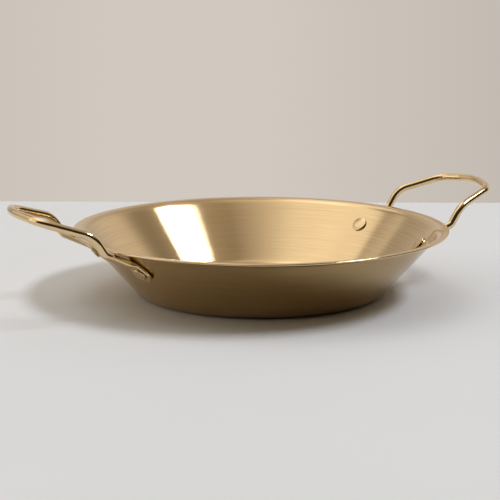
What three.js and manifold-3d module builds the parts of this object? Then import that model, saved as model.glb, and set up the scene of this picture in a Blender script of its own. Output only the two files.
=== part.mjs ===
// A shallow two-handled pan in gold-coloured steel: a pressed pan body whose flared wall curves out to a lip,
// two handles bent from round wire whose ends are hammered into flat ears, and four rivets.
// Millimetres, +Z up. The origin is on the floor under the middle of the pan, and the handles lie along X.
import * as THREE from "three";
import { mergeVertices } from "three/addons/utils/BufferGeometryUtils.js";
import Module from "manifold-3d";

// Pan body
const PAN_HEIGHT = 42.2;
const SHEET = 1.2;
const LIP_RADIUS = 120;
const LIP_WIDTH = 4.4; // from the outer wall's line, carried up to the rim, to the lip's edge
const WALL_FLARE = 41.6; // degrees from upright
const BASE_BEND = 10; // outer radius where the wall turns into the base
const LIP_BEND = 8; // underside radius where the wall turns into the lip

// Rivets
const RIVET_HEIGHT = 29; // centre on the outer wall, above the floor
const RIVET_SPACING = 77;
const SHANK_DIAMETER = 5;
const INNER_HEAD_DIAMETER = 10;
const INNER_HEAD_HEIGHT = 1.2;
const OUTER_HEAD_DIAMETER = 9;
const OUTER_HEAD_HEIGHT = 1;
const HEAD_CHAMFER = 0.5;

// Handle ears, hammered flat on the wall
const EAR_WIDTH = 11;
const EAR_THICKNESS = 2.1;
const EAR_END = 7.6; // rivet centre to the ear's tip
const EAR_FLAT = 5; // rivet centre to where the ear turns into wire
const EAR_SPLAY = 16; // degrees that the tips spread apart
const NECK_LENGTH = 7; // over which the flat ear turns into round wire
const NECK_CORNER = 6.8; // rivet centre to the corner where the wire leaves the wall's slope

// Handle wire, given at the corners of its bent path
const WIRE_DIAMETER = 5;
const LEG_SPACING = 78;
const LIP_CLEARANCE = 3.4; // wire surface to the lip's edge, at the lower elbow
const UNDER_LIP_CLEARANCE = 0.5;
const RISE_ABOVE_LIP = 9.8;
const ELBOW_LEAN = 7.1; // how far the upper elbow sits outside the lower one
const GRIP_REACH = 37;
const GRIP_TAPER_REACH = 28.8;
const GRIP_TAPER_SPACING = 56.8;
const GRIP_SLOPE = 17.2; // degrees that the grip rises outwards
const NECK_BEND = 12;
const LOWER_BEND = 5;
const UPPER_BEND = 15.6;
const CORNER_BEND = 14;
const END_BEND = 46;

// Gap kept between pieces that touch on the real pan
const SEAT_GAP = 0.3;

// Facets
const PAN_SEGMENTS = 96;
const RIVET_SEGMENTS = 24;
const WIRE_SIDES = 12;

const wasm = await Module();
wasm.setup();

const flare = THREE.MathUtils.degToRad(WALL_FLARE);
const wireRadius = WIRE_DIAMETER / 2;
const wallRadius = (z) => LIP_RADIUS - LIP_WIDTH - (PAN_HEIGHT - z) * Math.tan(flare);

// Where a rivet's axis crosses the outer wall, and the wall's outward direction there
const rivetSeat = new THREE.Vector3(
  Math.sqrt(wallRadius(RIVET_HEIGHT) ** 2 - (RIVET_SPACING / 2) ** 2),
  RIVET_SPACING / 2,
  RIVET_HEIGHT,
);
const wallNormal = new THREE.Vector3(rivetSeat.x, rivetSeat.y, 0)
  .normalize()
  .multiplyScalar(Math.cos(flare))
  .add(new THREE.Vector3(0, 0, -Math.sin(flare)));

function toSolid(geometry) {
  const plain = new THREE.BufferGeometry();
  plain.setAttribute("position", geometry.getAttribute("position").clone());
  plain.setIndex(geometry.getIndex());
  const merged = mergeVertices(plain, 1e-4);
  const index = merged.getIndex().array;
  const kept = [];
  for (let i = 0; i < index.length; i += 3) {
    const [a, b, c] = [index[i], index[i + 1], index[i + 2]];
    if (a !== b && b !== c && c !== a) kept.push(a, b, c);
  }
  const vertProperties = new Float32Array(merged.getAttribute("position").array);
  return new wasm.Manifold(new wasm.Mesh({ numProp: 3, vertProperties, triVerts: new Uint32Array(kept) }));
}

function toGeometry(solid) {
  const mesh = solid.getMesh();
  const geometry = new THREE.BufferGeometry();
  geometry.setAttribute("position", new THREE.BufferAttribute(new Float32Array(mesh.vertProperties), 3));
  geometry.setIndex(new THREE.BufferAttribute(new Uint32Array(mesh.triVerts), 1));
  geometry.computeVertexNormals();
  return geometry;
}

// Turns a shape made round +Y so that it stands on the rivet's seat along the wall's outward direction
function seatMatrix(sideX, sideY) {
  const mirrored = new THREE.Vector3(sideX, sideY, 1);
  const axis = wallNormal.clone().multiply(mirrored);
  const turn = new THREE.Quaternion().setFromUnitVectors(new THREE.Vector3(0, 1, 0), axis);
  return new THREE.Matrix4().compose(rivetSeat.clone().multiply(mirrored), turn, new THREE.Vector3(1, 1, 1));
}

// A cutter for one shank hole, long enough to pass through the wall and the ear
function shankHole(sideX, sideY) {
  const radius = SHANK_DIAMETER / 2 + SEAT_GAP;
  const length = 4 * (SHEET + EAR_THICKNESS);
  const cylinder = new THREE.CylinderGeometry(radius, radius, length, RIVET_SEGMENTS);
  return toSolid(cylinder.applyMatrix4(seatMatrix(sideX, sideY)));
}

function arcPoints(centre, radius, from, to, steps) {
  const points = [];
  for (let i = 0; i <= steps; i++) {
    const angle = from + ((to - from) * i) / steps;
    points.push(new THREE.Vector2(centre.x + radius * Math.cos(angle), centre.y + radius * Math.sin(angle)));
  }
  return points;
}

// Pan body: the sheet's section, from the middle of the base out along the floor side and back inside
function panGeometry() {
  const down = -Math.PI / 2;
  const up = Math.PI / 2;
  const baseCentre = new THREE.Vector2(wallRadius(BASE_BEND) - BASE_BEND / Math.cos(flare), BASE_BEND);
  const lipBendHeight = PAN_HEIGHT - SHEET - LIP_BEND;
  const lipCentre = new THREE.Vector2(wallRadius(lipBendHeight) + LIP_BEND / Math.cos(flare), lipBendHeight);
  const section = [
    new THREE.Vector2(0, 0),
    ...arcPoints(baseCentre, BASE_BEND, down, -flare, 6),
    ...arcPoints(lipCentre, LIP_BEND, Math.PI - flare, up, 5),
    new THREE.Vector2(LIP_RADIUS, PAN_HEIGHT - SHEET),
    new THREE.Vector2(LIP_RADIUS, PAN_HEIGHT),
    ...arcPoints(lipCentre, LIP_BEND + SHEET, up, Math.PI - flare, 5),
    ...arcPoints(baseCentre, BASE_BEND - SHEET, -flare, down, 6),
    new THREE.Vector2(0, SHEET),
  ];
  const turned = new THREE.LatheGeometry(section, PAN_SEGMENTS).rotateX(Math.PI / 2);
  let body = toSolid(turned);
  for (const sideX of [-1, 1]) {
    for (const sideY of [-1, 1]) body = body.subtract(shankHole(sideX, sideY));
  }
  return toGeometry(body);
}

// Rivet: an inner head, a shank through wall and ear, and an outer head, turned round its own axis
function rivetGeometry() {
  const headSag = INNER_HEAD_DIAMETER ** 2 / (8 * (wallRadius(RIVET_HEIGHT) / Math.cos(flare)));
  const innerSeat = -SHEET - SEAT_GAP - headSag;
  const outerSeat = SEAT_GAP + EAR_THICKNESS + SEAT_GAP;
  const innerTop = innerSeat - INNER_HEAD_HEIGHT;
  const outerTop = outerSeat + OUTER_HEAD_HEIGHT;
  const innerRadius = INNER_HEAD_DIAMETER / 2;
  const outerRadius = OUTER_HEAD_DIAMETER / 2;
  const section = [
    new THREE.Vector2(0, innerTop),
    new THREE.Vector2(innerRadius - HEAD_CHAMFER, innerTop),
    new THREE.Vector2(innerRadius, innerTop + HEAD_CHAMFER),
    new THREE.Vector2(innerRadius, innerSeat),
    new THREE.Vector2(SHANK_DIAMETER / 2, innerSeat),
    new THREE.Vector2(SHANK_DIAMETER / 2, outerSeat),
    new THREE.Vector2(outerRadius, outerSeat),
    new THREE.Vector2(outerRadius, outerTop - HEAD_CHAMFER),
    new THREE.Vector2(outerRadius - HEAD_CHAMFER, outerTop),
    new THREE.Vector2(0, outerTop),
  ];
  return toGeometry(toSolid(new THREE.LatheGeometry(section, RIVET_SEGMENTS)));
}

// Replaces the corner at b by an arc of the given radius, as a list of points
function bend(a, b, c, radius, steps) {
  const toA = a.clone().sub(b).normalize();
  const toC = c.clone().sub(b).normalize();
  const half = toA.angleTo(toC) / 2;
  const setback = radius / Math.tan(half);
  const middle = toA.clone().add(toC).normalize().multiplyScalar(radius / Math.sin(half)).add(b);
  const start = toA.multiplyScalar(setback).add(b).sub(middle);
  const end = toC.multiplyScalar(setback).add(b).sub(middle);
  const sweep = start.angleTo(end);
  const points = [];
  for (let i = 0; i <= steps; i++) {
    const t = i / steps;
    const fromStart = start.clone().multiplyScalar(Math.sin((1 - t) * sweep) / Math.sin(sweep));
    const fromEnd = end.clone().multiplyScalar(Math.sin(t * sweep) / Math.sin(sweep));
    points.push(fromStart.add(fromEnd).add(middle));
  }
  return points;
}

// Corners of half a handle's wire path, from the ear's tip to the middle of the grip
function wireCorners() {
  const level = new THREE.Vector3(-wallNormal.z, 0, wallNormal.x).normalize();
  const across = new THREE.Vector3().crossVectors(wallNormal, level).normalize();
  const splay = THREE.MathUtils.degToRad(EAR_SPLAY);
  const upEar = level.clone().multiplyScalar(Math.cos(splay)).addScaledVector(across, Math.sin(splay));
  const earCentre = rivetSeat.clone().addScaledVector(wallNormal, SEAT_GAP + EAR_THICKNESS / 2);
  const tip = earCentre.clone().addScaledVector(upEar, -EAR_END);
  const neck = earCentre.clone().addScaledVector(upEar, NECK_CORNER);

  // the leg passes below the lip's edge at its clearance
  const legSide = LEG_SPACING / 2;
  const lipEdgeX = Math.sqrt(LIP_RADIUS ** 2 - legSide ** 2);
  const runX = lipEdgeX - neck.x;
  const runZ = PAN_HEIGHT - SHEET - neck.z;
  const dip = Math.asin((wireRadius + UNDER_LIP_CLEARANCE) / Math.hypot(runX, runZ));
  const legSlope = Math.tan(Math.atan2(runZ, runX) - dip);
  const lowerX = Math.sqrt((LIP_RADIUS + LIP_CLEARANCE + wireRadius) ** 2 - legSide ** 2);
  const lower = new THREE.Vector3(lowerX, legSide, neck.z + legSlope * (lowerX - neck.x));

  const upper = new THREE.Vector3(lowerX + ELBOW_LEAN, legSide, PAN_HEIGHT + RISE_ABOVE_LIP);
  const rise = Math.tan(THREE.MathUtils.degToRad(GRIP_SLOPE));
  const onGrip = (reach, side) => new THREE.Vector3(upper.x + reach, side, upper.z + rise * reach);
  const corner = onGrip(GRIP_TAPER_REACH, GRIP_TAPER_SPACING / 2);
  const end = onGrip(GRIP_REACH, 0);
  return { tip, upEar, neck, lower, upper, corner, end };
}

// The wire's centreline as stations, each with its half width and half thickness
function wireStations() {
  const { tip, upEar, neck, lower, upper, corner, end } = wireCorners();
  const mirroredCorner = corner.clone().multiply(new THREE.Vector3(1, -1, 1));
  const bends = [
    bend(tip, neck, lower, NECK_BEND, 4),
    bend(neck, lower, upper, LOWER_BEND, 6),
    bend(lower, upper, corner, UPPER_BEND, 7),
    bend(upper, corner, end, CORNER_BEND, 8),
  ];
  const halfEnd = bend(corner, end, mirroredCorner, END_BEND, 12).slice(0, 7);
  const path = [];
  const tipSteps = 5;
  const earRadius = EAR_WIDTH / 2;
  for (let i = 1; i <= tipSteps; i++) {
    const turn = (i / tipSteps) * (Math.PI / 2);
    path.push(tip.clone().addScaledVector(upEar, earRadius * (1 - Math.cos(turn))));
  }
  const neckSteps = 5;
  const neckStart = EAR_END + EAR_FLAT;
  const line = [tip, ...bends.flat(), ...halfEnd];
  const lengths = [0];
  for (let i = 1; i < line.length; i++) lengths.push(lengths[i - 1] + line[i].distanceTo(line[i - 1]));
  const atLength = (wanted) => {
    const next = lengths.findIndex((value) => value > wanted);
    const share = (wanted - lengths[next - 1]) / (lengths[next] - lengths[next - 1]);
    return line[next - 1].clone().lerp(line[next], share);
  };
  path.push(atLength(EAR_END));
  for (let i = 0; i <= neckSteps; i++) path.push(atLength(neckStart + (NECK_LENGTH * i) / neckSteps));
  line.forEach((point, i) => {
    if (lengths[i] > neckStart + NECK_LENGTH + 0.5) path.push(point);
  });

  let travelled = path[0].distanceTo(tip);
  return path.map((point, i) => {
    if (i > 0) travelled += point.distanceTo(path[i - 1]);
    const round = THREE.MathUtils.smoothstep(travelled, neckStart, neckStart + NECK_LENGTH);
    const thickness = THREE.MathUtils.lerp(EAR_THICKNESS / 2, wireRadius, round);
    const tipDepth = Math.max(earRadius - travelled, 0);
    const tipWidth = Math.sqrt(earRadius ** 2 - tipDepth ** 2);
    const width = THREE.MathUtils.lerp(tipWidth, wireRadius, round);
    return { point, width, thickness: Math.min(thickness, width) };
  });
}

// Sections with flat faces and round edges, which become circles where width and thickness are equal
function sectionRing(station, across, out) {
  const ring = [];
  const outside = 1 / Math.cos(Math.PI / WIRE_SIDES);
  for (let j = 0; j < WIRE_SIDES; j++) {
    const angle = ((j + 0.5) / WIRE_SIDES) * 2 * Math.PI;
    const shift = Math.sign(Math.cos(angle)) * (station.width - station.thickness);
    const sideways = shift + station.thickness * outside * Math.cos(angle);
    const outwards = station.thickness * outside * Math.sin(angle);
    ring.push(station.point.clone().addScaledVector(across, sideways).addScaledVector(out, outwards));
  }
  return ring;
}

// Handle: one closed loft from ear to ear, the second half mirrored from the first
function handleGeometry() {
  const stations = wireStations();
  const last = stations.length - 1;
  const out = wallNormal.clone();
  const rings = stations.map((station, i) => {
    const before = stations[Math.max(i - 1, 0)].point;
    const after = i < last ? stations[i + 1].point : station.point;
    const along = after.clone().sub(before).normalize();
    if (i === last) along.set(0, -1, 0);
    out.addScaledVector(along, -out.dot(along)).normalize();
    return sectionRing(station, new THREE.Vector3().crossVectors(along, out), out);
  });
  const flip = new THREE.Vector3(1, -1, 1);
  for (let i = last - 1; i >= 0; i--) rings.push(rings[i].map((point) => point.clone().multiply(flip)));

  const positions = rings.flat().flatMap((point) => point.toArray());
  const index = [];
  for (let i = 0; i + 1 < rings.length; i++) {
    for (let j = 0; j < WIRE_SIDES; j++) {
      const a = i * WIRE_SIDES + j;
      const b = i * WIRE_SIDES + ((j + 1) % WIRE_SIDES);
      index.push(a, a + WIRE_SIDES, b, b, a + WIRE_SIDES, b + WIRE_SIDES);
    }
  }
  const lastRing = (rings.length - 1) * WIRE_SIDES;
  for (let j = 1; j + 1 < WIRE_SIDES; j++) {
    index.push(0, j, j + 1);
    index.push(lastRing, lastRing + j + 1, lastRing + j);
  }
  const loft = new THREE.BufferGeometry();
  loft.setAttribute("position", new THREE.BufferAttribute(new Float32Array(positions), 3));
  loft.setIndex(index);
  return toGeometry(toSolid(loft).subtract(shankHole(1, 1)).subtract(shankHole(1, -1)));
}

function addPiece(group, name, geometry, colour, roughness) {
  const material = new THREE.MeshStandardMaterial({ color: colour, roughness, metalness: 1 });
  const mesh = new THREE.Mesh(geometry, material);
  mesh.name = name;
  group.add(mesh);
  return mesh;
}

const pan = new THREE.Group();
const brushedGold = 0xb89260;
const polishedGold = 0xd2ab72;

addPiece(pan, "pan_body", panGeometry(), brushedGold, 0.38);

addPiece(pan, "handle_right", handleGeometry(), polishedGold, 0.15);
addPiece(pan, "handle_left", handleGeometry(), polishedGold, 0.15).rotation.z = Math.PI;

for (const [side, sideX] of [["right", 1], ["left", -1]]) {
  for (const [place, sideY] of [["front", -1], ["back", 1]]) {
    const rivet = addPiece(pan, `rivet_${side}_${place}`, rivetGeometry(), polishedGold, 0.25);
    rivet.applyMatrix4(seatMatrix(sideX, sideY));
  }
}

export default pan;
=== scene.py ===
import math
import bmesh
import bpy
from mathutils import Matrix, Vector


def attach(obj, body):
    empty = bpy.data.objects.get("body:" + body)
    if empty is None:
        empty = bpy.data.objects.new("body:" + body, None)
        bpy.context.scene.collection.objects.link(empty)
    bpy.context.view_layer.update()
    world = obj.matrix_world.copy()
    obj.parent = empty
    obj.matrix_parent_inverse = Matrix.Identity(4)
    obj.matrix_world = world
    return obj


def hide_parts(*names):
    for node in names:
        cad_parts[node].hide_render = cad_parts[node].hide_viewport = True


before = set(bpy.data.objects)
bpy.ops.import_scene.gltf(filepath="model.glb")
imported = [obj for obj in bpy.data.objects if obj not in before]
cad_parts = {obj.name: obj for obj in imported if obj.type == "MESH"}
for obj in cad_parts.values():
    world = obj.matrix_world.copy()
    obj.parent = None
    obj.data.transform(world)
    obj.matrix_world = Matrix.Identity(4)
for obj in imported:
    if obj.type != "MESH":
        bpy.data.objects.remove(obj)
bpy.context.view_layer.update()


# Camera: a long lens a little above the rim, so that the mouth of the pan is a thin ellipse.
# The handles lie at an angle to it: the left one comes forward and the right one goes back.
lens = bpy.data.cameras.new("camera")
lens.sensor_width = 36
lens.lens = 100.8
lens.clip_start = 0.05
camera = bpy.data.objects.new("camera", lens)
bpy.context.scene.collection.objects.link(camera)
camera.location = (-0.390, -0.794, 0.2032)
camera.rotation_euler = [math.radians(turn) for turn in (78.71, -0.10, -25.70)]
bpy.context.scene.camera = camera


# Pan body: one sheet of stainless steel pressed to a flat base and a flared wall that curves out to a lip.
# The sheet is brushed round the pan after pressing, then coated a warm gold colour.
pan_height = 0.0422
sheet = 0.0012
lip_radius = 0.120
lip_width = 0.0044
wall_flare = math.radians(41.6)
base_bend = 0.010
lip_bend = 0.008


def wall_radius(height):
    """Radius of the wall's outside at a height above the table."""
    return lip_radius - lip_width - (pan_height - height) * math.tan(wall_flare)


def arc(centre, radius, start, end, steps):
    """Points (radius, height) along an arc of a section."""
    turns = [start + (end - start) * step / steps for step in range(steps + 1)]
    return [(centre[0] + radius * math.cos(t), centre[1] + radius * math.sin(t)) for t in turns]


def slope(foot, head, steps=8):
    """The straight run of a section between two of its arcs, in even steps and without its ends."""
    return [tuple(a + (b - a) * k / steps for a, b in zip(foot, head)) for k in range(1, steps)]


def turned(name, section, segments):
    """A round piece: a disc at the section's first point, extruded and scaled to each of the other points."""
    bpy.ops.object.select_all(action="DESELECT")
    (radius, height), *rest = section
    bpy.ops.mesh.primitive_circle_add(
        vertices=segments, radius=radius, fill_type="NGON", location=(0, 0, height))
    piece = bpy.context.object
    piece.name = name
    bpy.ops.object.transform_apply(location=True, rotation=True, scale=True)
    bpy.ops.object.mode_set(mode="EDIT")
    bpy.ops.mesh.select_mode(type="VERT")
    bpy.ops.mesh.select_all(action="SELECT")
    for next_radius, next_height in rest:
        bpy.ops.mesh.extrude_region_move(TRANSFORM_OT_translate={"value": (0, 0, next_height - height)})
        share = next_radius / radius
        bpy.ops.transform.resize(value=(share, share, 1), center_override=(0, 0, next_height))
        radius, height = next_radius, next_height
    bpy.ops.mesh.select_all(action="SELECT")
    bpy.ops.mesh.normals_make_consistent(inside=False)
    bpy.ops.object.mode_set(mode="OBJECT")
    bpy.ops.object.shade_smooth_by_angle(angle=math.radians(35))
    return piece


base_centre = (wall_radius(base_bend) - base_bend / math.cos(wall_flare), base_bend)
lip_bend_height = pan_height - sheet - lip_bend
lip_centre = (wall_radius(lip_bend_height) + lip_bend / math.cos(wall_flare), lip_bend_height)
base_arc = arc(base_centre, base_bend, -math.pi / 2, -wall_flare, 12)
lip_arc = arc(lip_centre, lip_bend, math.pi - wall_flare, math.pi / 2, 12)
lip_edge = arc((lip_radius - sheet / 2, pan_height - sheet / 2), sheet / 2, -math.pi / 2, math.pi / 2, 12)
inner_lip_arc = arc(lip_centre, lip_bend + sheet, math.pi / 2, math.pi - wall_flare, 14)
inner_base_arc = arc(base_centre, base_bend - sheet, -wall_flare, -math.pi / 2, 12)
pan = turned("pan_body_steel", [
    *base_arc, *slope(base_arc[-1], lip_arc[0]), *lip_arc, *lip_edge,
    *inner_lip_arc, *slope(inner_lip_arc[-1], inner_base_arc[0]), *inner_base_arc], segments=256)


def linear(colour):
    """A colour written as an sRGB hex value, as the linear values that a shader takes."""
    parts = [int(colour[i:i + 2], 16) / 255 for i in (1, 3, 5)]
    return [p / 12.92 if p <= 0.04045 else ((p + 0.055) / 1.055) ** 2.4 for p in parts] + [1]


def finish_of(name):
    """An empty material, ready for the nodes of one finish."""
    material = bpy.data.materials.new(name)
    material.use_nodes = True
    material.node_tree.nodes.clear()
    return material


def add(material, kind, inputs=None, **settings):
    """Adds one node to a material, with links or values for its inputs and values for its own settings."""
    node = material.node_tree.nodes.new("ShaderNode" + kind)
    for name, value in settings.items():
        setattr(node, name, value)
    for name, value in (inputs or {}).items():
        if isinstance(value, bpy.types.NodeSocket):
            material.node_tree.links.new(value, node.inputs[name])
        else:
            node.inputs[name].default_value = value
    return node


# Brushed stainless steel under a thin gold-coloured coating. The fine lines run round the pan, so its
# reflections stay crisp from side to side and are drawn out up and down the wall.
brushed = finish_of("brushed_gold_coated_steel")
place = add(brushed, "TexCoord").outputs["Object"]
place_axes = add(brushed, "SeparateXYZ", {0: place}).outputs
flat_place = add(brushed, "CombineXYZ", {"X": place_axes["X"], "Y": place_axes["Y"]}).outputs[0]
around = add(brushed, "VectorMath", {0: flat_place}, operation="NORMALIZE").outputs[0]
from_middle = add(brushed, "VectorMath", {0: flat_place}, operation="LENGTH").outputs["Value"]
climb = add(brushed, "Math", {0: place_axes["Z"], 1: from_middle}, operation="ADD").outputs[0]
lift = add(brushed, "CombineXYZ", {"Z": climb}).outputs[0]


def brush_lines(length, spacing, detail):
    """Noise drawn out round the pan, in lines of about this spacing and, 0.1 m from its middle, this length."""
    round_part = add(brushed, "VectorMath", {0: around, "Scale": 0.1 / length}, operation="SCALE").outputs[0]
    slope_part = add(brushed, "VectorMath", {0: lift, "Scale": 1 / spacing}, operation="SCALE").outputs[0]
    where = add(brushed, "VectorMath", {0: round_part, 1: slope_part}, operation="ADD").outputs[0]
    return add(brushed, "TexNoise", {"Vector": where, "Scale": 1, "Detail": detail}).outputs["Fac"]


# The real lines are about 0.1 mm apart, too fine to show, so they are drawn 0.8 mm apart.
fine = brush_lines(0.045, 0.0008, 4)
broad = brush_lines(0.080, 0.0050, 2)
fine_share = add(brushed, "MapRange", {"Value": fine, "From Min": 0.3, "From Max": 0.7}).outputs[0]
broad_share = add(brushed, "MapRange", {
    "Value": broad, "From Min": 0.3, "From Max": 0.7, "To Max": 0.5}).outputs[0]
fine_tint = add(brushed, "MixRGB", {0: fine_share, 1: linear("#D8BD90"), 2: linear("#E9D2A9")}).outputs[0]
inside_tint = add(brushed, "MixRGB", {0: broad_share, 1: fine_tint, 2: linear("#E2C899")}).outputs[0]
# Faces that look down, as the outside of the wall does, get painted shade: their colour is multiplied a little
# darker than the inside.
# That is set to bring the outside as dark as it looks. Whether the real coating differs there isn't known.
tilt = add(brushed, "SeparateXYZ", {0: add(brushed, "TexCoord").outputs["Normal"]}).outputs["Z"]
painted_shade_below = add(brushed, "MapRange", {"Value": tilt, "From Min": 0.1, "From Max": -0.3}).outputs[0]
tint = add(brushed, "MixRGB", {
    0: painted_shade_below, 1: inside_tint, 2: linear("#E2D9C9")}, blend_type="MULTIPLY").outputs[0]
rough = add(brushed, "MapRange", {
    "Value": fine, "From Min": 0.3, "From Max": 0.7, "To Min": 0.14, "To Max": 0.19}).outputs[0]
grooves = add(brushed, "Bump", {"Height": fine, "Strength": 0.2, "Distance": 0.000008}).outputs[0]
grain = add(brushed, "VectorMath", {0: (0, 0, 1), 1: place}, operation="CROSS_PRODUCT").outputs[0]
steel = add(brushed, "BsdfPrincipled", {
    "Base Color": tint, "Metallic": 1, "Roughness": rough, "Normal": grooves,
    "Anisotropic": 0.94, "Anisotropic Rotation": 0.25, "Tangent": grain})
add(brushed, "OutputMaterial", {"Surface": steel.outputs[0]})

# The sheet's edge all round the lip shows as a fine bright line, so it is taken as ground smooth and polished
# before the coating.
edge = finish_of("polished_gold_coated_edge")
place = add(edge, "TexCoord").outputs["Object"]
wear = add(edge, "TexNoise", {"Vector": place, "Scale": 90, "Detail": 3}).outputs["Fac"]
tint = add(edge, "MixRGB", {0: wear, 1: linear("#DDBF8C"), 2: linear("#E8CE9F")}).outputs[0]
rough = add(edge, "MapRange", {
    "Value": wear, "From Min": 0.3, "From Max": 0.7, "To Min": 0.06, "To Max": 0.12}).outputs[0]
steel = add(edge, "BsdfPrincipled", {"Base Color": tint, "Metallic": 1, "Roughness": rough})
add(edge, "OutputMaterial", {"Surface": steel.outputs[0]})

pan.data.materials.append(brushed)
pan.data.materials.append(edge)
edge_start = lip_radius - sheet * 0.55
for face in pan.data.polygons:
    if face.center.xy.length > edge_start:
        face.material_index = 1
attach(pan, "root")
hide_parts("pan_body")


# Handles: 5 mm round wire bent to a loop at each side. Each end is hammered to a flat ear that lies on
# the wall and is riveted to it; from there the leg runs out under the lip before it turns up.
rivet_height = 0.029
rivet_spacing = 0.077
seat_gap = 0.0003
ear_width = 0.011
ear_thickness = 0.0021
ear_end = 0.0076
ear_flat = 0.005
ear_splay = math.radians(16)
neck_length = 0.007
neck_corner = 0.0068
wire_radius = 0.0025
leg_side = 0.039
lip_clearance = 0.0034
under_lip_clearance = 0.0005
rise_above_lip = 0.0098
elbow_lean = 0.0071
grip_reach = 0.037
taper_reach = 0.0288
taper_side = 0.0284
grip_slope = math.tan(math.radians(17.2))
neck_bend = 0.012
foot_bend = 0.005
elbow_bend = 0.0156
corner_bend = 0.014
grip_bend = 0.046

seat_x = math.sqrt(wall_radius(rivet_height) ** 2 - (rivet_spacing / 2) ** 2)
seat = Vector((seat_x, rivet_spacing / 2, rivet_height))
seat_out = Vector((seat.x, seat.y, 0)).normalized()
wall_out = seat_out * math.cos(wall_flare) - Vector((0, 0, math.sin(wall_flare)))
level = Vector((-wall_out.z, 0, wall_out.x)).normalized()
ear_up = level * math.cos(ear_splay) + wall_out.cross(level).normalized() * math.sin(ear_splay)
ear_middle = seat + wall_out * (seat_gap + ear_thickness / 2)
tip = ear_middle - ear_up * ear_end
neck = ear_middle + ear_up * neck_corner

run = Vector((math.sqrt(lip_radius ** 2 - leg_side ** 2) - neck.x, pan_height - sheet - neck.z))
leg_rise = math.tan(math.atan2(run.y, run.x) - math.asin((wire_radius + under_lip_clearance) / run.length))
lower_x = math.sqrt((lip_radius + lip_clearance + wire_radius) ** 2 - leg_side ** 2)
lower = Vector((lower_x, leg_side, neck.z + leg_rise * (lower_x - neck.x)))
upper = Vector((lower_x + elbow_lean, leg_side, pan_height + rise_above_lip))
corner = Vector((upper.x + taper_reach, taper_side, upper.z + grip_slope * taper_reach))
end = Vector((upper.x + grip_reach, 0, upper.z + grip_slope * grip_reach))
far_corner = Vector((corner.x, -corner.y, corner.z))


class Wire:
    """The wire while it is being made: the middle, directions and half sizes of the end that is drawn on."""

    def __init__(self, middle, along, out, size):
        self.middle, self.along, self.out = middle.copy(), along, out
        self.width = self.thickness = size
        self.drawn = 0

    def hammer(self):
        """Gives the end its section: rounded at the tip, flat along the ear, turning round over the neck."""
        turned_round = min(max((self.drawn - ear_end - ear_flat) / neck_length, 0), 1)
        turned_round = turned_round ** 2 * (3 - 2 * turned_round)
        depth = max(ear_width / 2 - self.drawn, 0)
        width = math.sqrt((ear_width / 2) ** 2 - depth ** 2)
        width += (wire_radius - width) * turned_round
        thickness = min(ear_thickness / 2 + (wire_radius - ear_thickness / 2) * turned_round, width)
        share = thickness / self.thickness
        shift = (width - thickness) - (self.width - self.thickness) * share
        self.width, self.thickness = width, thickness
        bpy.ops.transform.resize(value=(share, share, share), center_override=self.middle)
        if abs(shift) > 1e-7:
            self.spread(shift)

    def spread(self, shift):
        """Moves the two halves of the end apart, and leaves all of it selected again."""
        side = self.along.cross(self.out)
        mesh = bmesh.from_edit_mesh(bpy.context.object.data)
        ring = [v for v in mesh.verts if v.select]
        for way in (1, -1):
            for v in ring:
                v.select = (v.co - self.middle).dot(side) * way > 1e-6
            mesh.select_flush_mode()
            bpy.ops.transform.translate(value=side * shift * way)
        for v in ring:
            v.select = True
        mesh.select_flush_mode()

    def straight(self, target, steps):
        """Draws the wire on in a straight line."""
        step = (target - self.middle) / steps
        for _ in range(steps):
            bpy.ops.mesh.extrude_region_move(TRANSFORM_OT_translate={"value": step})
            self.middle += step
            self.drawn += step.length
            self.hammer()

    def bend(self, before, point, after, radius, steps, share=1):
        """Draws the wire straight to a corner of its path and round it, or round a share of it."""
        back, on = (before - point).normalized(), (after - point).normalized()
        half = back.angle(on) / 2
        self.straight(point + back * radius / math.tan(half), 3)
        centre = point + (back + on).normalized() * radius / math.sin(half)
        axis = on.cross(back).normalized()
        angle = (math.pi - 2 * half) * share / steps
        turn = Matrix.Rotation(angle, 3, axis)
        for _ in range(steps):
            bpy.ops.mesh.spin(steps=1, angle=angle, center=centre, axis=-axis)
            self.middle = centre + turn @ (self.middle - centre)
            self.along, self.out = turn @ self.along, turn @ self.out
            self.drawn += radius * angle
            self.hammer()


tip_out = (wall_out - ear_up * wall_out.dot(ear_up)).normalized()
tip_size = 0.0004
tip_turn = Matrix((tip_out.cross(ear_up), tip_out, ear_up)).transposed().to_euler()
bpy.ops.object.select_all(action="DESELECT")
bpy.ops.mesh.primitive_circle_add(vertices=32, radius=tip_size, location=tip, rotation=tip_turn)
handle = bpy.context.object
handle.name = "handle_right_wire"
bpy.ops.object.transform_apply(location=True, rotation=True, scale=True)
bpy.ops.object.mode_set(mode="EDIT")
bpy.ops.mesh.select_mode(type="VERT")
bpy.ops.mesh.select_all(action="SELECT")
wire = Wire(tip, ear_up, tip_out, tip_size)
for share in (0.04, 0.15, 0.33, 0.6, 1):
    wire.straight(tip + ear_up * ear_width / 2 * share, 1)
wire.bend(tip, neck, lower, neck_bend, 8)
wire.bend(neck, lower, upper, foot_bend, 12)
wire.bend(lower, upper, corner, elbow_bend, 14)
wire.bend(upper, corner, end, corner_bend, 16)
wire.bend(corner, end, far_corner, grip_bend, 12, share=0.5)
bpy.ops.object.mode_set(mode="OBJECT")
bpy.ops.object.modifier_add(type="MIRROR")
mirror = handle.modifiers[-1]
mirror.use_axis = (False, True, False)
mirror.merge_threshold = 0.00005
bpy.ops.object.modifier_apply(modifier=mirror.name)
bpy.ops.object.mode_set(mode="EDIT")
bpy.ops.mesh.select_all(action="SELECT")
bpy.ops.mesh.remove_doubles(threshold=0.00001)
bpy.ops.mesh.fill_holes(sides=0)
bpy.ops.mesh.normals_make_consistent(inside=False)
bpy.ops.object.mode_set(mode="OBJECT")
bpy.ops.object.shade_smooth_by_angle(angle=math.radians(40))
bpy.ops.object.duplicate()
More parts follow.
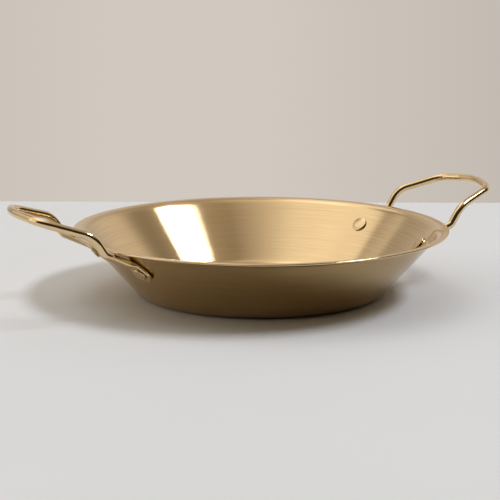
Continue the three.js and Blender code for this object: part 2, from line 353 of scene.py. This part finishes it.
left_handle = bpy.context.object
left_handle.name = "handle_left_wire"
bpy.ops.transform.rotate(value=math.pi, orient_axis="Z", center_override=(0, 0, 0))
bpy.ops.object.transform_apply(location=True, rotation=True, scale=True)

# Polished wire in the same gold coating. Drawn and tumbled wire is nearly a mirror, with a slight waviness.
polished = finish_of("polished_gold_coated_wire")
place = add(polished, "TexCoord").outputs["Object"]
haze = add(polished, "TexNoise", {"Vector": place, "Scale": 160, "Detail": 3}).outputs["Fac"]
waves = add(polished, "TexNoise", {"Vector": place, "Scale": 220, "Detail": 1}).outputs["Fac"]
tint = add(polished, "MixRGB", {0: haze, 1: linear("#E0C697"), 2: linear("#EBD3A8")}).outputs[0]
rough = add(polished, "MapRange", {
    "Value": haze, "From Min": 0.3, "From Max": 0.7, "To Min": 0.09, "To Max": 0.15}).outputs[0]
dents = add(polished, "Bump", {"Height": waves, "Strength": 0.3, "Distance": 0.0002}).outputs[0]
steel = add(polished, "BsdfPrincipled", {
    "Base Color": tint, "Metallic": 1, "Roughness": rough, "Normal": dents})
add(polished, "OutputMaterial", {"Surface": steel.outputs[0]})

for piece, node in ((handle, "handle_right"), (left_handle, "handle_left")):
    piece.data.materials.append(polished)
    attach(piece, "root")
    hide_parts(node)


# Rivets: each ear is held by one steel rivet through the wall, with a slightly crowned round head inside
# the pan and a smaller flat one with a soft edge outside on the ear. They are coated with the pan.
shank_radius = 0.0025
inner_head = 0.005
inner_head_height = 0.0012
inner_crown = 0.0006
outer_head = 0.0045
outer_head_height = 0.001
head_edge = 0.0005
head_sag = inner_head ** 2 / (2 * wall_radius(rivet_height) / math.cos(wall_flare))
inner_seat = -sheet - seat_gap - head_sag
outer_seat = 2 * seat_gap + ear_thickness
inner_top = inner_seat - inner_head_height
outer_top = outer_seat + outer_head_height
crown_radius = (inner_head ** 2 + inner_crown ** 2) / (2 * inner_crown)
crown_turn = math.asin(inner_head / crown_radius)
crown_start, crown_end = (-math.pi / 2 + crown_turn * share for share in (0.2, 0.95))
crown = arc((0, inner_top + crown_radius), crown_radius, crown_start, crown_end, 7)
rivet = turned("rivet", [
    *crown, (inner_head, inner_top + inner_crown * 1.15), (inner_head, inner_seat),
    (shank_radius, inner_seat), (shank_radius, outer_seat), (outer_head, outer_seat),
    *arc((outer_head - head_edge, outer_top - head_edge), head_edge, 0, math.pi / 2, 5),
    (outer_head * 0.4, outer_top)], segments=64)

# Polished rivet steel in the gold coating, a little duller than the wire where the heads were pressed.
pressed = finish_of("polished_gold_coated_rivet")
place = add(pressed, "TexCoord").outputs["Object"]
haze = add(pressed, "TexNoise", {"Vector": place, "Scale": 600, "Detail": 3}).outputs["Fac"]
tint = add(pressed, "MixRGB", {0: haze, 1: linear("#E0C697"), 2: linear("#EBD3A8")}).outputs[0]
rough = add(pressed, "MapRange", {
    "Value": haze, "From Min": 0.3, "From Max": 0.7, "To Min": 0.18, "To Max": 0.30}).outputs[0]
marks = add(pressed, "Bump", {"Height": haze, "Strength": 0.3, "Distance": 0.00005}).outputs[0]
steel = add(pressed, "BsdfPrincipled", {
    "Base Color": tint, "Metallic": 1, "Roughness": rough, "Normal": marks})
add(pressed, "OutputMaterial", {"Surface": steel.outputs[0]})

for side, side_x in (("right", 1), ("left", -1)):
    for row, side_y in (("front", -1), ("back", 1)):
        mirrored = Matrix.Diagonal((side_x, side_y, 1))
        pin = rivet.copy()
        pin.data = rivet.data.copy()
        pin.name = f"rivet_{side}_{row}_pin"
        bpy.context.scene.collection.objects.link(pin)
        bpy.ops.object.select_all(action="DESELECT")
        pin.select_set(True)
        bpy.context.view_layer.objects.active = pin
        pin.rotation_euler = (mirrored @ wall_out).to_track_quat("Z", "Y").to_euler()
        pin.location = mirrored @ seat
        bpy.ops.object.transform_apply(location=True, rotation=True, scale=True)
        pin.data.materials.append(pressed)
        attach(pin, "root")
        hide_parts(f"rivet_{side}_{row}")
bpy.data.objects.remove(rivet)


# Table: a plain pale table top that ends a hand's breadth behind the pan, square to the camera.
# It isn't part of the pan.
facing_camera = Matrix.Rotation(math.radians(-26.16), 4, "Z")
table_back = 0.352
table_depth = 4.352
table_width = 6

bpy.ops.mesh.primitive_plane_add(size=1)
table = bpy.context.object
table.name = "table"
table.matrix_world = facing_camera @ Matrix.Translation((0, table_back - table_depth / 2, 0))
table.scale = (table_width, table_depth, 1)
laminate = finish_of("matt_pale_laminate")
place = add(laminate, "TexCoord").outputs["Object"]
mottle = add(laminate, "TexNoise", {"Vector": place, "Scale": 40, "Detail": 4}).outputs["Fac"]
shade_level = add(laminate, "MapRange", {"Value": mottle, "To Min": 0.98, "To Max": 1.02}).outputs[0]
shade = add(laminate, "HueSaturation", {"Color": linear("#E8ECF0"), "Value": shade_level}).outputs[0]
matt = add(laminate, "BsdfPrincipled", {"Base Color": shade, "Roughness": 0.8, "Specular IOR Level": 0.2})
add(laminate, "OutputMaterial", {"Surface": matt.outputs[0]})
table.data.materials.append(laminate)


# Room: a warm grey wall behind the table, brighter where it comes round to a window on the right, under
# a dim ceiling. The side of the camera is dark, so that the steel has something dark to reflect.
bpy.context.scene.view_settings.view_transform = "Standard"
room = bpy.data.worlds.new("room")
bpy.context.scene.world = room
room.use_nodes = True
room.node_tree.nodes.clear()
look = add(room, "TexCoord").outputs["Generated"]
height = add(room, "SeparateXYZ", {0: look}).outputs["Z"]
bright_side = facing_camera @ Matrix.Rotation(math.radians(20), 4, "Z") @ Vector((0, 1, 0))
away = add(room, "VectorMath", {0: look, 1: bright_side}, operation="DOT_PRODUCT").outputs["Value"]
to_right, to_back = facing_camera.col[0].xyz, facing_camera.col[1].xyz
aside = add(room, "VectorMath", {0: look, 1: to_right}, operation="DOT_PRODUCT").outputs["Value"]
back = add(room, "VectorMath", {0: look, 1: to_back}, operation="DOT_PRODUCT").outputs["Value"]
overhead = add(room, "MapRange", {
    "Value": back, "From Min": -0.5, "From Max": -0.2, "To Min": 0.045, "To Max": 0.485}).outputs[0]
ceiling = add(room, "MapRange", {
    "Value": height, "From Min": 0.45, "From Max": 0.8, "To Min": 0.03, "To Max": overhead}).outputs[0]
dark_room = add(room, "Background", {"Color": linear("#FBE9D5"), "Strength": ceiling}).outputs[0]
right_level = add(room, "MapRange", {
    "Value": aside, "From Min": 0.0, "From Max": 0.2, "To Min": 1.0, "To Max": 0.84}).outputs[0]
right_window = add(room, "MapRange", {
    "Value": aside, "From Min": 0.25, "From Max": 0.5, "To Min": 1.0, "To Max": 1.35}).outputs[0]
left_level = add(room, "MapRange", {
    "Value": aside, "From Min": -0.7, "From Max": -0.1, "To Min": 0.62}).outputs[0]
side_level = add(room, "Math", {0: right_level, 1: right_window}, operation="MULTIPLY").outputs[0]
wall_level = add(room, "Math", {0: side_level, 1: left_level}, operation="MULTIPLY").outputs[0]
wall = add(room, "Background", {"Color": linear("#D1C8BF"), "Strength": wall_level}).outputs[0]
wall_side = add(room, "MapRange", {
    "Value": away, "From Min": 0.05, "From Max": 0.35}, interpolation_type="SMOOTHSTEP").outputs[0]
below_ceiling = add(room, "MapRange", {
    "Value": height, "From Min": 0.80, "From Max": 0.50}, interpolation_type="SMOOTHSTEP").outputs[0]
wall_share = add(room, "Math", {0: wall_side, 1: below_ceiling}, operation="MULTIPLY").outputs[0]
surroundings = add(room, "MixShader", {0: wall_share, 1: dark_room, 2: wall}).outputs[0]
add(room, "OutputWorld", {"Surface": surroundings})


# Lamps: a narrow soft box high on the right makes the bright band inside the pan and the shadow on the
# left. A wide dim panel high on the left fades overhead, and weak ones behind and low fill the shadow.
def panel(name, colour, way, distance, size_x, size_y, brightness, fade=0):
    """A lamp panel that faces the pan, placed by its direction as the camera sees it: right, away and up."""
    lamp = bpy.data.lights.new(name, "AREA")
    lamp.shape = "RECTANGLE"
    lamp.size, lamp.size_y = size_x, size_y
    lamp.color = linear(colour)[:3]
    lamp.energy = brightness * math.pi * size_x * size_y
    lit = bpy.data.objects.new(name, lamp)
    bpy.context.scene.collection.objects.link(lit)
    towards = Vector(way).normalized()
    away = (Vector((0, 1, 0)) - towards * towards.y).normalized()
    facing = Matrix((away.cross(towards), away, towards)).transposed().to_4x4()
    lit.matrix_world = facing_camera @ Matrix.Translation(towards * distance) @ facing
    if fade:
        lamp.use_nodes = True
        lamp.node_tree.nodes.clear()
        across = add(lamp, "SeparateXYZ", {0: add(lamp, "NewGeometry").outputs["Parametric"]}).outputs["X"]
        level = add(lamp, "MapRange", {"Value": across, "From Min": 1, "From Max": 1 - fade}).outputs[0]
        add(lamp, "OutputLight", {"Surface": add(lamp, "Emission", {"Strength": level}).outputs[0]})


panel("soft_box", "#F6F9FF", (0.578, -0.021, 0.815), 4.8, 0.87, 2.20, 17.0)
panel("left_panel", "#FFF9F0", (-0.316, -0.012, 0.949), 2.0, 2.52, 1.95, 0.73, 0.45)
panel("back_panel", "#FFF9F0", (-0.17, 0.52, 0.84), 2.0, 0.75, 1.30, 0.80, 0.3)
panel("left_fringe", "#FFF6EA", (-0.80, 0.38, 0.46), 2.5, 1.40, 1.60, 0.30)
panel("low_fill", "#FFF6EA", (-0.93, -0.20, 0.30), 2.5, 1.40, 1.60, 1.05)
